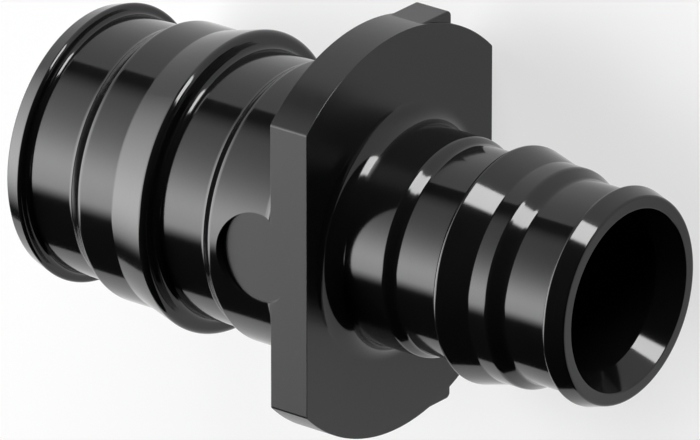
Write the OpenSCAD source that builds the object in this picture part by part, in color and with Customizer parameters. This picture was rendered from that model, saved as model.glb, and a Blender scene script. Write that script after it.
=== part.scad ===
// Reducing coupling for plastic tube, moulded in one piece.
// Two ribbed spigots stand back to back on a flange that stops the tubes.
// X runs along the bore towards the small spigot, Z is square to the flange's flats,
// and the origin is on the bore axis in the middle of the flange.
// All sizes are millimetres and degrees.

/* [Flange] */
// Radius of the round edge
flange_r = 18.85; // [18.3:0.05:20]
// Thickness of the flange
flange_t = 3.92; // [3:0.02:6]
// Distance across the two flats
flat_af = 26.5; // [26:0.1:30]
// Width of the bar whose ends are the two square corners
bar_w = 37.1; // [36.8:0.1:39]
// Drop of the bar below the bore axis
bar_drop = 7.55; // [5:0.05:11]
// How far the bar's faces lie behind the flange's faces
bar_recess = 0.1; // [0.05:0.05:0.4]
// Rounding of the two square corners
bar_corner_r = 0.5; // [0.2:0.05:1.2]
// Rounding along the edges of the flange
edge_r = 0.2; // [0.1:0.05:0.5]

/* [Gate boss] */
// Radius of the boss's flat end
boss_r = 4.15; // [3:0.05:5]
// Distance of the boss behind the flange's back face
boss_back = 0.8; // [0:0.05:2]
// Offset of the boss to one side
boss_side = 0.5; // [-1:0.1:1]
// Flare of the boss's side
boss_flare_deg = 45; // [10:1:50]

/* [Both spigots] */
// Slope of the ribs' lead-in cones
ramp_deg = 14.6; // [12:0.1:18]
// Slope of the lips' lead-in cones
lip_deg = 16.4; // [12:0.1:20]
// Slope of the steps between lands
step_deg = 32; // [25:1:45]
// Rounding at the foot of each step
step_foot_r = 0.9; // [0.3:0.1:1.2]
// Rounding at the top of each step
step_top_r = 0.9; // [0.3:0.1:1.2]
// Fillet where a ramp leaves its seat
ramp_foot_r = 0.8; // [0.2:0.1:2]
// Rounding of the mouth's edges
mouth_edge_r = 0.3; // [0.1:0.05:0.4]

/* [Large spigot] */
// Radius of the shoulder beside the flange
large_shoulder_r = 12.95; // [12.9:0.05:13.3]
// Length of the shoulder
large_shoulder_w = 7.3; // [6:0.1:9]
// Radius of the relief behind the rib
large_relief_r = 12.3; // [12:0.05:12.6]
// Length of the relief
large_relief_w = 5.36; // [4:0.02:7]
// Largest radius of the rib
large_rib_r = 13.91; // [13.5:0.01:14.4]
// Rounding of the rib's crest
large_crest_r = 0.62; // [0.3:0.02:0.9]
// Fillet behind the rib
large_back_r = 0.55; // [0.2:0.05:0.8]
// Radius of the seat in front of the rib
large_seat_r = 12.94; // [12.5:0.01:13.2]
// Length of the seat
large_seat_w = 3.85; // [2.5:0.05:6]
// Radius of the groove behind the lip
large_groove_r = 11.9; // [11.6:0.05:12.2]
// Length of the groove
large_groove_w = 5.07; // [3.5:0.01:7]
// Largest radius of the lip
large_lip_r = 12.87; // [12.7:0.01:13.3]
// Length of the lip
large_lip_w = 1.92; // [1.4:0.02:3]
// Rounding of the lip's crest
large_lip_crest_r = 0.32; // [0.15:0.01:0.4]
// Fillet behind the lip
large_lip_back_r = 0.4; // [0.15:0.05:0.5]
// Fillet between the shoulder and the flange
large_root_r = 0.8; // [0.3:0.1:2]
// Radius of the bore
large_bore_r = 9.4; // [8:0.1:9.8]
// Depth of the conical mouth
large_mouth_d = 2.3; // [1.5:0.1:3]

/* [Small spigot] */
// Radius of the shoulder beside the flange
small_shoulder_r = 10.03; // [9.9:0.01:10.4]
// Length of the shoulder
small_shoulder_w = 6.03; // [5:0.01:8]
// Radius of the relief behind the rib
small_relief_r = 9.51; // [9.2:0.01:9.7]
// Length of the relief
small_relief_w = 4.94; // [4:0.02:7]
// Largest radius of the rib
small_rib_r = 10.77; // [10.5:0.01:11.2]
// Rounding of the rib's crest
small_crest_r = 0.48; // [0.2:0.02:0.7]
// Fillet behind the rib
small_back_r = 0.5; // [0.2:0.05:0.7]
// Radius of the seat in front of the rib
small_seat_r = 10.01; // [9.8:0.01:10.2]
// Length of the seat
small_seat_w = 1.99; // [1.6:0.01:4]
// Radius of the groove behind the lip
small_groove_r = 9.23; // [9:0.01:9.4]
// Length of the groove
small_groove_w = 4.62; // [3.5:0.01:6.5]
// Largest radius of the lip
small_lip_r = 9.92; // [9.8:0.01:10.2]
// Length of the lip
small_lip_w = 2.11; // [1.6:0.01:3]
// Rounding of the lip's crest
small_lip_crest_r = 0.36; // [0.15:0.01:0.4]
// Fillet behind the lip
small_lip_back_r = 0.3; // [0.15:0.05:0.4]
// Fillet between the shoulder and the flange
small_root_r = 1.75; // [0.5:0.05:3]
// Radius of the bore
small_bore_r = 7; // [6:0.1:7.2]
// Depth of the conical mouth
small_mouth_d = 2.3; // [1.5:0.1:2.6]

/* [Bores] */
// Slope of the conical mouths
mouth_deg = 30; // [20:1:33]
// Slope of the cone that joins the two bores
reducer_deg = 30; // [20:1:60]

/* [Hidden] */
$fn = 96;
// Distance of each flat and of each stop face from the bore axis and the flange's middle
flat_h = flat_af / 2;
stop_x = flange_t / 2;
// Length that a cut runs past the face it opens in
past = 1;

// Radius of the sharp corner whose rounding by r just touches the radius crest,
// where a cone of the given slope meets a square back
function sharp_r(crest, r, slope) = crest + r * (tan(slope) + 1 / cos(slope) - 1);

// Outline of one spigot as corners [x, radius, rounding], from the flange's middle outwards
function spigot_corners(shoulder_r, shoulder_w, relief_r, relief_w, rib_r, crest_r, back_r,
        seat_r, seat_w, groove_r, groove_w, lip_r, lip_w, lip_crest_r, lip_back_r) =
    let (
        shoulder_x = stop_x + shoulder_w,
        relief_x = shoulder_x + (shoulder_r - relief_r) / tan(step_deg),
        rib_x = relief_x + relief_w,
        rib_top = sharp_r(rib_r, crest_r, ramp_deg),
        ramp_x = rib_x + (rib_top - seat_r) / tan(ramp_deg),
        seat_x = ramp_x + seat_w,
        groove_x = seat_x + (seat_r - groove_r) / tan(step_deg),
        lip_x = groove_x + groove_w,
        lip_top = sharp_r(lip_r, lip_crest_r, lip_deg),
        end_x = lip_x + lip_w
    )
    [
        [0, 0, 0],
        [0, shoulder_r, 0],
        [shoulder_x, shoulder_r, step_top_r],
        [relief_x, relief_r, step_foot_r],
        [rib_x, relief_r, back_r],
        [rib_x, rib_top, crest_r],
        [ramp_x, seat_r, ramp_foot_r],
        [seat_x, seat_r, step_top_r],
        [groove_x, groove_r, step_foot_r],
        [lip_x, groove_r, lip_back_r],
        [lip_x, lip_top, lip_crest_r],
        [end_x, lip_top - lip_w * tan(lip_deg), mouth_edge_r],
        [end_x, 0, 0]
    ];

large_corners = spigot_corners(large_shoulder_r, large_shoulder_w, large_relief_r, large_relief_w,
    large_rib_r, large_crest_r, large_back_r, large_seat_r, large_seat_w, large_groove_r,
    large_groove_w, large_lip_r, large_lip_w, large_lip_crest_r, large_lip_back_r);
small_corners = spigot_corners(small_shoulder_r, small_shoulder_w, small_relief_r, small_relief_w,
    small_rib_r, small_crest_r, small_back_r, small_seat_r, small_seat_w, small_groove_r,
    small_groove_w, small_lip_r, small_lip_w, small_lip_crest_r, small_lip_back_r);
// Outline of the flange with its fillets to both shoulders
flange_corners = [
    [-stop_x - large_root_r, 0, 0],
    [-stop_x - large_root_r, large_shoulder_r, 0],
    [-stop_x, large_shoulder_r, large_root_r],
    [-stop_x, flange_r, edge_r],
    [stop_x, flange_r, edge_r],
    [stop_x, small_shoulder_r, small_root_r],
    [stop_x + small_root_r, small_shoulder_r, 0],
    [stop_x + small_root_r, 0, 0]
];
// Distance of each open end from the flange's middle
large_end_x = large_corners[len(large_corners) - 1].x;
small_end_x = small_corners[len(small_corners) - 1].x;
// Radius of each mouth at its open end
large_mouth_r = large_bore_r + large_mouth_d * tan(mouth_deg);
small_mouth_r = small_bore_r + small_mouth_d * tan(mouth_deg);
// Length of the cone between the bores, which starts at the flange's back face
reducer_len = (large_bore_r - small_bore_r) / tan(reducer_deg);

// Geometry of the rounding at corner i of an outline
function unit(v) = v / norm(v);
function cross2(a, b) = a.x * b.y - a.y * b.x;
function at(c) = [c.x, c.y];
function to_previous(corners, i) = unit(at(corners[i - 1]) - at(corners[i]));
function to_next(corners, i) = unit(at(corners[i + 1]) - at(corners[i]));
function half_angle(corners, i) = acos(to_previous(corners, i) * to_next(corners, i)) / 2;
function arc_centre(corners, i) =
    at(corners[i]) + unit(to_previous(corners, i) + to_next(corners, i)) * corners[i].z
    / sin(half_angle(corners, i));
function touch(corners, i, direction) =
    at(corners[i]) + direction * corners[i].z / tan(half_angle(corners, i));
function is_outer(corners, i) = cross2(to_next(corners, i), to_previous(corners, i)) < 0;

// Four-sided patch from an arc's centre and the two points it touches to just past the corner
module corner_patch(corners, i) {
    polygon([
        at(corners[i]) * 1.5 - arc_centre(corners, i) * 0.5,
        touch(corners, i, to_previous(corners, i)),
        arc_centre(corners, i),
        touch(corners, i, to_next(corners, i))
    ]);
}

module corner_arc(corners, i) {
    translate(arc_centre(corners, i)) circle(r = corners[i].z);
}

// Outline with a true arc at each corner that has a rounding
module rounded_outline(corners) {
    rounded = [for (i = [1:len(corners) - 2]) if (corners[i].z > 0) i];
    difference() {
        polygon([for (c = corners) at(c)]);
        for (i = rounded) if (is_outer(corners, i)) difference() {
            corner_patch(corners, i);
            corner_arc(corners, i);
        }
    }
    for (i = rounded) if (!is_outer(corners, i)) difference() {
        corner_patch(corners, i);
        corner_arc(corners, i);
    }
}

// Rectangle about the origin with round corners
module rounded_rectangle(w, h, r) {
    square([w - 2 * r, h], center = true);
    square([w, h - 2 * r], center = true);
    for (x = [-1, 1], y = [-1, 1])
        translate([x * (w / 2 - r), y * (h / 2 - r)]) circle(r = r);
}

// Turns an outline of x and radius about the X axis
module turn_about_x() {
    rotate([0, 90, 0]) rotate_extrude() mirror([1, -1]) children();
}

module spigot(corners) {
    turn_about_x() rounded_outline(corners);
}

// Section along the bore that leaves the two flats: the front edges of the flats are
// rounded, and behind the flange it runs on over the fillet to the large shoulder
module flats_section() {
    rounded_rectangle(flange_t, flat_af, edge_r);
    translate([-stop_x - large_root_r, -flat_h]) square([large_root_r + edge_r, flat_af]);
    translate([0, -small_shoulder_r - small_root_r])
        square([stop_x + small_root_r, 2 * (small_shoulder_r + small_root_r)]);
}

// Round disc with soft edges and root fillets, cut back to the two flats
module flange_disc() {
    intersection() {
        turn_about_x() rounded_outline(flange_corners);
        rotate([90, 0, 0]) linear_extrude(2 * flange_r + 2 * past, center = true) flats_section();
    }
}

// Bar through the flange, whose ends stand out of the round edge as two square corners
module corner_bar() {
    bar_t = flange_t - 2 * bar_recess;
    translate([0, 0, -bar_drop / 2]) intersection() {
        rotate([90, 0, 90]) linear_extrude(bar_t, center = true)
            rounded_rectangle(bar_w, bar_drop, bar_corner_r);
        linear_extrude(bar_drop, center = true) rounded_rectangle(bar_t, bar_w, edge_r);
    }
}

// Round boss at the moulding gate, behind the flange and level with its upper flat
module gate_boss() {
    h = flat_h - large_bore_r;
    intersection() {
        translate([-stop_x - boss_back, boss_side, large_bore_r])
            cylinder(h = h, r1 = boss_r + h * tan(boss_flare_deg), r2 = boss_r);
        translate([-large_end_x, -flange_r, 0]) cube([large_end_x, 2 * flange_r, flange_r]);
    }
}

// Through bore with a conical mouth at each end and a cone between the two diameters
module bore() {
    turn_about_x() polygon([
        [-large_end_x - past, 0],
        [-large_end_x - past, large_mouth_r + past * tan(mouth_deg)],
        [-large_end_x + large_mouth_d, large_bore_r],
        [-stop_x - reducer_len, large_bore_r],
        [-stop_x, small_bore_r],
        [small_end_x - small_mouth_d, small_bore_r],
        [small_end_x + past, small_mouth_r + past * tan(mouth_deg)],
        [small_end_x + past, 0]
    ]);
}

module coupling_body() {
    color("black") difference() {
        union() {
            flange_disc();
            corner_bar();
            gate_boss();
            spigot(small_corners);
            mirror([1, 0, 0]) spigot(large_corners);
        }
        bore();
    }
}

coupling_body();
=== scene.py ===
import bpy
import numpy as np
from mathutils import Matrix, Vector


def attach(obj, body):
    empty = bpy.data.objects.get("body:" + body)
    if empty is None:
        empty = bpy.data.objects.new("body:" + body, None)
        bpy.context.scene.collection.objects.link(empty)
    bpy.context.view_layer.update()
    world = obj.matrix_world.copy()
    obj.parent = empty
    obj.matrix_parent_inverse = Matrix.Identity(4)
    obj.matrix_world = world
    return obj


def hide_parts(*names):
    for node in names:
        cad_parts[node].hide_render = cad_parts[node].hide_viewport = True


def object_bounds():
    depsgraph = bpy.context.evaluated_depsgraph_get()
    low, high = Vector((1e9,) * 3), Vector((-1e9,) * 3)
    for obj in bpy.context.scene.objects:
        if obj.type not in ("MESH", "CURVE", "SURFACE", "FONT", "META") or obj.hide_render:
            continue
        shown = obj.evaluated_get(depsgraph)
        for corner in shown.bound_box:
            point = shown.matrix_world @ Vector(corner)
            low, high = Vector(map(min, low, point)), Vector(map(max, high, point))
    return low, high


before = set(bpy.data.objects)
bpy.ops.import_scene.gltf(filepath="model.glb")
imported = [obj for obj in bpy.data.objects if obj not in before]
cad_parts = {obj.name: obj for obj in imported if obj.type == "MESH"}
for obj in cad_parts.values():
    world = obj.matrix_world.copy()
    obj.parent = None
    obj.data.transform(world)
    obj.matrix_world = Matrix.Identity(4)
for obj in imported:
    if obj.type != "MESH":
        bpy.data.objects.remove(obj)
cad_lo, cad_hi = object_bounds()

# Camera
# A long lens, so that parallel edges stay nearly parallel, above the front of the coupling
# and rolled until the bore axis falls to the right. Pixels count from the frame's top left.
MM = 0.001
PIXEL = 0.088 * MM
FRAME_W = 700
FLANGE_X, FLANGE_Y = 384.29, 226.57
AIM_X, AIM_Y = 352.3, 220.6
LENS, SENSOR = 640.0, 36.0
CLIP_NEAR, CLIP_BEYOND = 0.1, 10.0
CAM_RIGHT = Vector((0.7873, 0.0, -0.6165))
CAM_BACK = Vector((0.5679, 0.3891, 0.7253)).normalized()
CAM_UP = CAM_BACK.cross(CAM_RIGHT).normalized()
CAM_RIGHT = CAM_UP.cross(CAM_BACK).normalized()

cam_dist = LENS * FRAME_W * PIXEL / SENSOR
cam_data = bpy.data.cameras.new("camera")
cam_data.lens = LENS
cam_data.sensor_width = SENSOR
cam_data.sensor_fit = "HORIZONTAL"
cam_data.clip_start = CLIP_NEAR
cam_data.clip_end = cam_dist + CLIP_BEYOND
camera = bpy.data.objects.new("camera", cam_data)
target = (AIM_X - FLANGE_X) * PIXEL * CAM_RIGHT - (AIM_Y - FLANGE_Y) * PIXEL * CAM_UP
turn = Matrix((CAM_RIGHT, CAM_UP, CAM_BACK)).transposed().to_4x4()
camera.matrix_world = Matrix.Translation(target + CAM_BACK * cam_dist) @ turn
bpy.context.collection.objects.link(camera)
bpy.context.scene.camera = camera

# Studio
# Matt white table top in a dark room. A wide softbox to the left is brightest at its near
# end, and a low strip light stands behind the table, at the height of the table top.
FAR = 3.0
FLOOR_SIDE = 2 * FAR
FLOOR_GREY = 0.88
GROUND_WHITE = 0.6
ROOM_GREY = 0.01
DIMMED_AT = 0.87


class Wire:
    """A node socket that takes part in sums, so that shader maths reads as Python. With no
    socket yet it only starts off the first nodes of a tree."""

    def __init__(self, tree, socket=None):
        self.tree, self.socket = tree, socket

    def node(self, kind, settings=None, output=0, **sockets):
        """New node of a kind with its settings and with values or wires on its sockets,
        named, or numbered as i0, i1 and so on. One of its outputs comes back as a wire."""
        made = self.tree.nodes.new(kind)
        for key, value in (settings or {}).items():
            setattr(made, key, value)
        for key, value in sockets.items():
            number = key[1:].isdigit() and key[0] == "i"
            target = made.inputs[int(key[1:]) if number else key]
            if isinstance(value, Wire):
                self.tree.links.new(value.socket, target)
            else:
                target.default_value = value
        return Wire(self.tree, made.outputs[output])

    def into(self, node, name):
        """Leads the wire to an input of a node that is already there."""
        self.tree.links.new(self.socket, node.inputs[name])

    def part(self, index):
        """One of the three components of a vector."""
        return self.node("ShaderNodeSeparateXYZ", output=index, i0=self)

    def math(self, operation, other=0.0):
        """Result of an operation on this wire and, where it takes two, on the other."""
        return self.node("ShaderNodeMath", {"operation": operation}, i0=self, i1=other)

    def __add__(self, other):
        return self.math("ADD", other)

    __radd__ = __add__

    def __sub__(self, other):
        return self.math("SUBTRACT", other)

    def __rsub__(self, other):
        return self.node("ShaderNodeMath", {"operation": "SUBTRACT"}, i0=other, i1=self)

    def __mul__(self, other):
        return self.math("MULTIPLY", other)

    __rmul__ = __mul__

    def step(self, low, high):
        """Smooth step from 0 at low to 1 at high, or down again where low is above high."""
        ramp = {"interpolation_type": "SMOOTHSTEP"}
        return self.node("ShaderNodeMapRange", ramp, i0=self, i1=low, i2=high)


floor_corners = [(-1, -1), (1, -1), (1, 1), (-1, 1)]
floor_mesh = bpy.data.meshes.new("floor")
floor_mesh.from_pydata(
    [(x * FLOOR_SIDE, y * FLOOR_SIDE, cad_lo.z) for x, y in floor_corners], [], [(0, 1, 2, 3)]
)
floor = bpy.data.objects.new("floor", floor_mesh)
bpy.context.collection.objects.link(floor)
floor_mat = bpy.data.materials.new("table_white")
floor_mat.use_nodes = True
floor_tree = floor_mat.node_tree
floor_shader = floor_tree.nodes["Principled BSDF"]
floor_shader.inputs["Base Color"].default_value = (FLOOR_GREY, FLOOR_GREY, FLOOR_GREY, 1)
floor_shader.inputs["Roughness"].default_value = 1.0
floor_shader.inputs["Specular IOR Level"].default_value = 0.0

# To the camera and in mirror images the table is part plain white, which thins its shadow.
start = Wire(floor_tree)
seen = start.node("ShaderNodeLightPath", output="Is Camera Ray")
for way in ("Is Glossy Ray", "Is Transmission Ray"):
    seen = seen.math("MAXIMUM", start.node("ShaderNodeLightPath", output=way))
matt = Wire(floor_tree, floor_shader.outputs[0])
white = start.node("ShaderNodeEmission", Strength=1.0)
ground = start.node("ShaderNodeMixShader", i0=seen * GROUND_WHITE, i1=matt, i2=white)
ground.into(floor_tree.nodes["Material Output"], "Surface")
floor_mesh.materials.append(floor_mat)

world = bpy.data.worlds.new("studio_dark")
world.use_nodes = True
room = world.node_tree.nodes["Background"]
room.inputs["Color"].default_value = (ROOM_GREY, ROOM_GREY, ROOM_GREY, 1)
bpy.context.scene.world = world


def softbox(name, facing, across, spans, radiance, dim_end, rise, soft):
    """Rectangle of light on the plane at the distance FAR along facing. Its spans along
    across and up are tangents of the angles from facing: left, right, bottom, top. The
    radiance drops to dim_end of its value from left to right after it has risen over the
    shares of the width in rise, and soft is the share of the size over which it fades in
    from the left, right, bottom and top edges."""
    back = Vector(facing).normalized()
    up = back.cross(Vector(across)).normalized()
    right = up.cross(back).normalized()
    left, right_end, bottom, top = spans
    fade_left, fade_right, fade_bottom, fade_top = soft
    lamp = bpy.data.lights.new(name, "AREA")
    lamp.shape = "RECTANGLE"
    lamp.size = (right_end - left) * FAR
    lamp.size_y = (top - bottom) * FAR
    lamp.energy = radiance * lamp.size * lamp.size_y * np.pi
    lamp.use_nodes = True
    at = Wire(lamp.node_tree).node("ShaderNodeNewGeometry", output="Parametric")
    along, over = at.part(0), at.part(1)
    glow = (dim_end + (1 - dim_end) * along.step(DIMMED_AT, 0.0)) * along.step(*rise)
    glow = glow * along.step(0.0, fade_left) * along.step(1.0, 1 - fade_right)
    glow = glow * over.step(0.0, fade_bottom) * over.step(1.0, 1 - fade_top)
    glow.into(lamp.node_tree.nodes["Emission"], "Strength")
    obj = bpy.data.objects.new(name, lamp)
    centre = back + right * (left + right_end) / 2 + up * (bottom + top) / 2
    turn = Matrix((right, up, back)).transposed().to_4x4()
    obj.matrix_world = Matrix.Translation(centre * FAR) @ turn
    obj.visible_camera = False
    bpy.context.collection.objects.link(obj)


softbox(
    "main_softbox",
    facing=(-0.808, 0.01, 0.589),
    across=(-0.228, 0.916, -0.329),
    spans=(-0.6, 1.5, -0.59, 0.86),
    radiance=9.1,
    dim_end=0.13,
    rise=(-0.27, 0.33),
    soft=(0.086, 0.26, 0.22, 0.48),
)
softbox(
    "low_strip",
    facing=(0.0, 1.0, 0.0),
    across=(-1.0, 0.0, 0.0),
    spans=(-0.6, 0.25, 0.0, 0.42),
    radiance=15.5,
    dim_end=1.0,
    rise=(-2.0, -1.0),
    soft=(0.04, 0.04, 0.02, 0.15),
)

# Coupling body
# One moulding in black engineering polymer, drawn from a two-part tool: polished cavities
# leave the spigots glossy, and the flange and the gate recess's floor keep a fine grain.

# Flange, in millimetres. The spigots' lengths count from HALF_T either side of the middle,
# and the plate stands a little prouder, at PLATE_T.
HALF_T, PLATE_T = 1.96, 2.02
FLAT_H = 13.25
FLANGE_R = 18.85
RIM_SOFT, PLATE_EDGE, PLATE_HOLE = 0.35, 0.05, 8.5

# Spigots and bore. The roots are the fillets that join the spigots to the flange.
RAMP, LIP, STEP, MOUTH = np.radians([14.6, 16.4, 32.0, 30.0])
STEP_SOFT, SEAT_SOFT, END_EDGE = 0.9, 0.8, 0.3
ROOT_SMALL, ROOT_LARGE = 1.75, 1.4
SMALL_BORE, LARGE_BORE, MOUTH_D = 7.0, 9.4, 2.3
MOUTH_EDGE, THROAT_SOFT, CONE_SOFT = 0.15, 0.2, 0.4
AROUND = 288
ARC_DEG = 9.0


def spigot_corners(shoulder, relief, rib, seat, groove, lip):
    """Corners [x, radius, rounding] of a spigot's outer profile, from the flange outwards.
    Each land is (radius, length), the rib (radius, crest rounding, foot rounding) and the
    lip (radius, length, crest rounding, foot rounding); steps and ramps follow from their
    slopes. A crest's corner stands above it by rounding * (tan + 1/cos - 1) of the slope."""
    rib_r, rib_crest, rib_foot = rib
    lip_r, lip_length, lip_crest, lip_foot = lip
    rib_top = rib_r + rib_crest * (np.tan(RAMP) + 1 / np.cos(RAMP) - 1)
    lip_top = lip_r + lip_crest * (np.tan(LIP) + 1 / np.cos(LIP) - 1)
    x = HALF_T + shoulder[1]
    rows = [[x, shoulder[0], STEP_SOFT]]
    x += (shoulder[0] - relief[0]) / np.tan(STEP)
    rows.append([x, relief[0], STEP_SOFT])
    x += relief[1]
    rows.append([x, relief[0], rib_foot])
    rows.append([x, rib_top, rib_crest])
    x += (rib_top - seat[0]) / np.tan(RAMP)
    rows.append([x, seat[0], SEAT_SOFT])
    x += seat[1]
    rows.append([x, seat[0], STEP_SOFT])
    x += (seat[0] - groove[0]) / np.tan(STEP)
    rows.append([x, groove[0], STEP_SOFT])
    x += groove[1]
    rows.append([x, groove[0], lip_foot])
    rows.append([x, lip_top, lip_crest])
    x += lip_length
    rows.append([x, lip_top - lip_length * np.tan(LIP), END_EDGE])
    return rows


SMALL = spigot_corners(
    shoulder=(10.03, 6.03),
    relief=(9.51, 4.94),
    rib=(10.77, 0.48, 0.5),
    seat=(10.01, 1.99),
    groove=(9.23, 4.62),
    lip=(9.92, 2.11, 0.36, 0.3),
)
LARGE = spigot_corners(
    shoulder=(12.95, 7.3),
    relief=(12.3, 5.36),
    rib=(13.91, 0.62, 0.55),
    seat=(12.94, 3.85),
    groove=(11.9, 5.07),
    lip=(12.87, 1.92, 0.32, 0.4),
)


def rounded_loop(corners):
    """Closed profile through corners [x, y, rounding]. A rounding becomes an arc that
    touches both sides, cut into steps of about ARC_DEG; a corner with none stays sharp,
    as two rows. Returns points and outward normals, for corners that run clockwise."""
    c = np.array(corners, float)
    p, r = c[:, :2], c[:, 2]
    to_prev = np.roll(p, 1, 0) - p
    to_next = np.roll(p, -1, 0) - p
    to_prev /= np.linalg.norm(to_prev, axis=1)[:, None]
    to_next /= np.linalg.norm(to_next, axis=1)[:, None]
    n_in = np.stack([to_prev[:, 1], -to_prev[:, 0]], 1)
    n_out = np.stack([-to_next[:, 1], to_next[:, 0]], 1)
    bends = np.arctan2(
        n_in[:, 0] * n_out[:, 1] - n_in[:, 1] * n_out[:, 0], (n_in * n_out).sum(1)
    )
    points, normals = [], []
    for i, bend in enumerate(bends):
        if r[i] <= 0:
            points += [p[i], p[i]]
            normals += [n_in[i], n_out[i]]
            continue
        reach = r[i] * abs(np.tan(bend / 2))
        side = -np.sign(bend)
        centre = p[i] + to_prev[i] * reach - side * n_in[i] * r[i]
        steps = max(2, int(np.ceil(abs(np.degrees(bend)) / ARC_DEG)) + 1)
        t = np.linspace(0, bend, steps)[:, None]
        turned = n_in[i] * np.cos(t) + n_in[i][::-1] * [-1, 1] * np.sin(t)
        points += list(centre + side * r[i] * turned)
        normals += list(turned)
    return np.array(points), np.array(normals)


def grid_faces(rows, cols, wrap_rows):
    """Quads of a grid of rows by cols vertices whose columns run all the way round. With
    wrap_rows the last row joins the first, which closes the surface like a tyre."""
    last = rows if wrap_rows else rows - 1
    i, j = np.meshgrid(np.arange(last), np.arange(cols), indexing="ij")
    i2, j2 = (i + 1) % rows, (j + 1) % cols
    quads = np.stack([i * cols + j, i2 * cols + j, i2 * cols + j2, i * cols + j2], -1)
    return quads.reshape(-1, 4)


def headings(angles):
    """Unit vectors whose two components are the cosines and sines of the angles."""
    return np.stack([np.cos(angles), np.sin(angles)], 1)


# Spigots and bore: one closed profile turned about the bore axis. Inside the flange the
# profile dips below the stop faces by DIP_X and below the roots' ends by DIP_SMALL and
# DIP_LARGE, where the flange's plate covers it.
DIP_X, DIP_SMALL, DIP_LARGE = 0.4, 0.4, 0.6
small_end, large_end = SMALL[-1][0], LARGE[-1][0]
small_shoulder, large_shoulder = SMALL[0][1], LARGE[0][1]
profile = [[-x, y, r] for x, y, r in reversed(LARGE)]
profile += [
    [-PLATE_T, large_shoulder, ROOT_LARGE],
    [-PLATE_T, large_shoulder + ROOT_LARGE, 0],
    [-PLATE_T + DIP_X, large_shoulder + ROOT_LARGE - DIP_LARGE, 0],
    [PLATE_T - DIP_X, small_shoulder + ROOT_SMALL - DIP_SMALL, 0],
    [PLATE_T, small_shoulder + ROOT_SMALL, 0],
    [PLATE_T, small_shoulder, ROOT_SMALL],
]
profile += SMALL
profile += [
    [small_end, SMALL_BORE + MOUTH_D * np.tan(MOUTH), MOUTH_EDGE],
    [small_end - MOUTH_D, SMALL_BORE, THROAT_SOFT],
    [-HALF_T, SMALL_BORE, CONE_SOFT],
    [-HALF_T - (LARGE_BORE - SMALL_BORE) / np.tan(MOUTH), LARGE_BORE, CONE_SOFT],
    [-large_end + MOUTH_D, LARGE_BORE, THROAT_SOFT],
    [-large_end, LARGE_BORE + MOUTH_D * np.tan(MOUTH), MOUTH_EDGE],
]
section, section_n = rounded_loop(profile)
ring = headings(np.arange(AROUND) * 2 * np.pi / AROUND)
turned = np.empty((len(section), AROUND, 3))
turned[..., 0] = section[:, None, 0]
turned[..., 1:] = section[:, None, 1:] * ring
turned_n = np.empty_like(turned)
turned_n[..., 0] = section_n[:, None, 0]
turned_n[..., 1:] = section_n[:, None, 1:] * ring


def plate(outline, outline_n, half_t, edge, hole):
    """Plate across the X axis with soft edges. The outline's points and outward normals in
    (y, z) give a rim; each face runs from the loop of points in hole to the outline drawn
    in by edge, and a quarter circle of radius edge joins it to the rim."""
    t = np.radians(np.linspace(0, 90, 7))
    rows, rows_n = [], []
    for sign in (1, -1):
        bow = np.stack([half_t - edge * (1 - np.cos(t)), -edge * (1 - np.sin(t))], 1)
        side = [np.column_stack([np.full(len(hole), sign * half_t), hole])]
        side_n = [np.tile([sign, 0, 0], (len(hole), 1))]
        for (x, off), a in zip(bow, t):
            yz = outline + outline_n * off
            lean = np.full(len(yz), sign * np.cos(a))
            side.append(np.column_stack([np.full(len(yz), sign * x), yz]))
            side_n.append(np.column_stack([lean, outline_n * np.sin(a)]))
        rows += side[::sign]
        rows_n += side_n[::sign]
    return np.array(rows, float), np.array(rows_n, float)


def disc_outline():
    """Flange outline in (y, z), anticlockwise: two arcs of the disc and two flats, with
    small roundings where they meet. The points have their outward normals."""
    inner = FLANGE_R - RIM_SOFT
    lift = np.arcsin((FLAT_H - RIM_SOFT) / inner)
    arc = headings(np.linspace(-lift, lift, 61))
    bend = headings(np.linspace(lift, np.pi / 2, 6)[1:])
    bent = inner * np.array([np.cos(lift), np.sin(lift)]) + RIM_SOFT * bend
    low = np.array([1.0, -1.0])
    right = np.concatenate([bent[::-1] * low, FLANGE_R * arc, bent])
    right_n = np.concatenate([bend[::-1] * low, arc, bend])
    return np.concatenate([right, -right]), np.concatenate([right_n, -right_n])


# Lugs: two square corners on the lower half of the disc. Each is a box a little thinner than
# the plate, from LUG_IN to LUG_OUT across, z = 0 down to LUG_LOW, with its outer lower corner
# rounded by LUG_SOFT and the others by LUG_CORNER. LUG_CORE shrinks the flat caps' loops.
LUG_IN, LUG_OUT, LUG_LOW = 12.0, 18.55, -7.55
LUG_SOFT, LUG_CORNER, LUG_CORE = 0.5, 0.3, 0.3
LUG_T, LUG_EDGE = HALF_T - 0.1, 0.2


def lug_outline(sign):
    """Outline of a lug in (y, z), anticlockwise, with outward normals: four arcs about the
    corners' centres, from the inner lower one round to the inner upper one. The lug on the
    negative side is its mirror image."""
    corners = (
        (LUG_IN + LUG_CORNER, LUG_LOW + LUG_CORNER, LUG_CORNER, np.linspace(180, 270, 4)),
        (LUG_OUT - LUG_SOFT, LUG_LOW + LUG_SOFT, LUG_SOFT, np.linspace(-90, 0, 8)),
        (LUG_OUT - LUG_CORNER, -LUG_CORNER, LUG_CORNER, np.linspace(0, 90, 4)),
        (LUG_IN + LUG_CORNER, -LUG_CORNER, LUG_CORNER, np.linspace(90, 180, 4)),
    )
    bends = [headings(np.radians(degrees)) for *_, degrees in corners]
    points = [np.array([y, z]) + r * bend for (y, z, r, _), bend in zip(corners, bends)]
    pts, nrm = np.concatenate(points), np.concatenate(bends)
    if sign < 0:
        pts, nrm = pts[::-1] * [-1, 1], nrm[::-1] * [-1, 1]
    return pts, nrm


rim, rim_n = disc_outline()
spokes = rim / np.linalg.norm(rim, axis=1)[:, None]
disc, disc_n = plate(rim, rim_n, PLATE_T, PLATE_EDGE, PLATE_HOLE * spokes)

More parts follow.
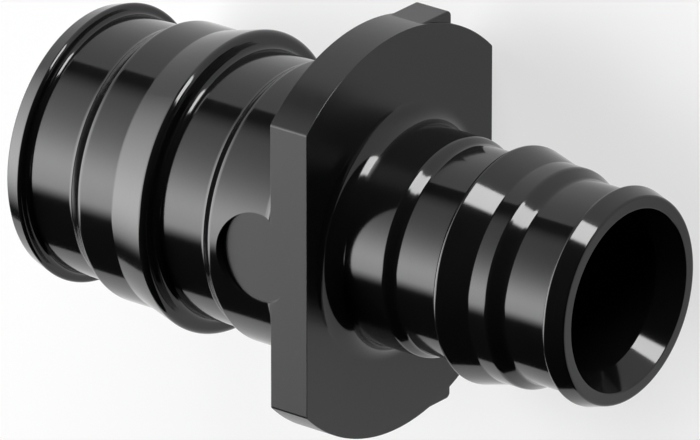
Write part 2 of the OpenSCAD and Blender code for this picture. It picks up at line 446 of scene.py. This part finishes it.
lugs = []
for sign in (1, -1):
    pts, nrm = lug_outline(sign)
    mid = pts.mean(0)
    lugs.append(plate(pts, nrm, LUG_T, LUG_EDGE, mid + LUG_CORE * (pts - mid)))

# Gate recess: a round pocket from above through the shoulder into the flange, its wall drawn
# by 2 degrees. Its drum is cut out of both shells, a hair larger out of the disc, so that no
# two walls coincide. Above and below the flats a slab cuts the root fillets off level.
GATE_X, GATE_R, GATE_FLOOR, DRAFT = -4.18, 4.15, 12.15, np.radians(2)
HAIR, LEVEL_GAP = 0.003, 0.002
DRUM_ABOVE, SLAB_ABOVE = 1.0, 2.0
DRUM_SIDES = 128
NO_AREA = 1e-9


def carrying(name, points, faces, corner_n):
    """Mesh object whose face corners carry their own normals, which outlast a cut."""
    mesh = bpy.data.meshes.new(name)
    mesh.from_pydata((points * MM).tolist(), [], faces)
    carried = mesh.attributes.new("carried_normal", "FLOAT_VECTOR", "CORNER")
    carried.data.foreach_set("vector", corner_n.ravel())
    obj = bpy.data.objects.new(name, mesh)
    bpy.context.collection.objects.link(obj)
    return obj


def shell(name, points, normals, wrap):
    """Closed surface from a grid of points with normals. Where its rows don't wrap, flat
    faces close the first and the last."""
    rows, cols = points.shape[:2]
    p, n = points.reshape(-1, 3), normals.reshape(-1, 3)
    quads = grid_faces(rows, cols, wrap)
    a, b, c, d = (p[quads[:, k]] for k in range(4))
    face_n = np.cross(c - a, d - b)
    if (face_n * n[quads].sum(1)).sum() < 0:
        quads = quads[:, ::-1]
    faces = quads[np.linalg.norm(face_n, axis=1) > NO_AREA].tolist()
    first = np.arange(cols)
    for ends in () if wrap else (first, first + (rows - 1) * cols):
        arm = p[ends] - p[ends].mean(0)
        loop_n = np.cross(arm, np.roll(arm, -1, 0)).sum(0)
        faces.append((ends if loop_n @ n[ends[0]] > 0 else ends[::-1]).tolist())
    return carrying(name, p, faces, n[np.concatenate(faces)])


def gate_drum(grow):
    """Upright cone of the recess grown by grow, from the recess's floor to above the flats.
    Its corners carry the recess's normals: off the wall, and up from the floor."""
    way = np.arange(DRUM_SIDES) * 2 * np.pi / DRUM_SIDES
    out = np.column_stack([headings(way), np.zeros(DRUM_SIDES)])
    rise = FLAT_H + DRUM_ABOVE - GATE_FLOOR
    low = [GATE_X, 0, GATE_FLOOR - grow] + (GATE_R + grow) * out
    high = low + rise * np.tan(DRAFT) * out + [0, 0, rise]
    wall = grid_faces(2, DRUM_SIDES, False)[:, ::-1]
    wall_n = [0, 0, np.sin(DRAFT)] - np.cos(DRAFT) * out
    ends = [list(range(DRUM_SIDES))[::-1], list(range(DRUM_SIDES, 2 * DRUM_SIDES))]
    ends_n = np.tile([0.0, 0, 1], (2 * DRUM_SIDES, 1))
    corner_n = np.concatenate([wall_n[wall.ravel() % DRUM_SIDES], ends_n])
    return carrying("drum", np.concatenate([low, high]), wall.tolist() + ends, corner_n)


def slab(sign):
    """Box beyond one of the flats, as long as the flange and its fillets."""
    x, y = PLATE_T + ROOT_SMALL, FLANGE_R
    square = np.array([[-x, -y], [x, -y], [x, y], [-x, y]])
    levels = sign * np.array([FLAT_H - LEVEL_GAP, FLAT_H + SLAB_ABOVE])
    points = np.concatenate([np.column_stack([square, np.full(4, z)]) for z in levels])
    faces = [[3, 2, 1, 0], [4, 5, 6, 7], [0, 1, 5, 4], [1, 2, 6, 5], [2, 3, 7, 6], [3, 0, 4, 7]]
    faces = [face[::sign] for face in faces]
    return carrying("slab", points, faces, np.tile([0.0, 0, sign], (24, 1)))


def cut(obj, cutter):
    """Takes the cutter out of the object, whose mesh becomes the result."""
    tool = obj.modifiers.new("cut", "BOOLEAN")
    tool.operation, tool.solver, tool.object = "DIFFERENCE", "EXACT", cutter
    done = obj.evaluated_get(bpy.context.evaluated_depsgraph_get())
    result = bpy.data.meshes.new_from_object(done)
    obj.modifiers.clear()
    obj.data = result
    bpy.data.objects.remove(cutter)


body = shell("coupling", turned[:, ::-1], turned_n[:, ::-1], True)
flange = shell("flange", disc, disc_n, True)
for cutter in (slab(1), slab(-1), gate_drum(0.0)):
    cut(body, cutter)
cut(flange, gate_drum(HAIR))
shells = [body, flange] + [shell("lug", pts, nrm, False) for pts, nrm in lugs]
with bpy.context.temp_override(active_object=body, selected_editable_objects=shells):
    bpy.ops.object.join()
body_mesh = body.data
carried = body_mesh.attributes["carried_normal"]
corner_n = np.empty(len(carried.data) * 3)
carried.data.foreach_get("vector", corner_n)
body_mesh.attributes.remove(carried)
corner_n = corner_n.reshape(-1, 3)
corner_n /= np.linalg.norm(corner_n, axis=1)[:, None]
body_mesh.shade_smooth()
body_mesh.normals_split_custom_set(corner_n.tolist())

# Polymer: black with a faint flow pattern. Polished faces carry a light haze, and the plate
# and the recess's floor are grained, rougher, with a tooth that also lifts the surface.
IOR = 1.46
DARK_TONE, LIGHT_TONE = (0.0025, 0.0025, 0.0027, 1), (0.005, 0.005, 0.0052, 1)
POLISHED, HAZED = 0.07, 0.05
SATIN, TOOTH = 0.13, 0.06
GRAIN_LIFT, FLOW_LIFT = 0.35, 0.6
BUMP_STRENGTH, BUMP_HEIGHT = 0.25, 0.02 * MM


def past(wire, size, start, end):
    """Smooth step on a wire in metres, from 0 at start to 1 at end, both of them
    millimetres beyond a size in millimetres."""
    return wire.step((size + start) * MM, (size + end) * MM)


polymer = bpy.data.materials.new("black_polymer")
polymer.use_nodes = True
shader = polymer.node_tree.nodes["Principled BSDF"]
shader.inputs["IOR"].default_value = IOR
here = Wire(polymer.node_tree).node("ShaderNodeTexCoord", output="Object")
px, py, pz = here.part(0), here.part(1), here.part(2)
gate_dx = px - GATE_X * MM
from_axis = (py * py + pz * pz).math("SQRT")
from_gate = (gate_dx * gate_dx + py * py).math("SQRT")
in_gate = past(from_gate, GATE_R, 0.045, 0.04) * past(pz, GATE_FLOOR, -0.05, -0.02)
on_floor = in_gate * past(from_gate, GATE_R, 0, -0.005) * past(pz, GATE_FLOOR, 0.02, 0.01)
on_face = past(px.math("ABSOLUTE"), PLATE_T, 0.04, 0.01)
beyond_root = past(from_axis, small_shoulder + ROOT_SMALL, 0.12, 0.22)
on_plate = on_face * beyond_root * (1 - in_gate)
grained = on_plate.math("MAXIMUM", on_floor)

grain = here.node("ShaderNodeTexNoise", Vector=here, Scale=9000.0, Detail=3.0, Roughness=0.6)
flow = here.node("ShaderNodeTexNoise", Vector=here, Scale=160.0, Detail=2.0, Roughness=0.5)
haze = here.node("ShaderNodeTexNoise", Vector=here, Scale=700.0, Detail=4.0, Roughness=0.65)
rough = POLISHED + HAZED * haze + grained * (SATIN + TOOTH * grain)
rough.into(shader, "Roughness")
blend = {"data_type": "RGBA"}
tone = here.node("ShaderNodeMix", blend, output=2, i0=flow, i6=DARK_TONE, i7=LIGHT_TONE)
tone.into(shader, "Base Color")
relief = grained * grain * GRAIN_LIFT + flow * FLOW_LIFT
bump = here.node("ShaderNodeBump", Strength=BUMP_STRENGTH, Distance=BUMP_HEIGHT, Height=relief)
bump.into(shader, "Normal")
body_mesh.materials.append(polymer)

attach(body, "root")
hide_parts("coupling_body")

bpy.context.scene.view_settings.view_transform = "Standard"
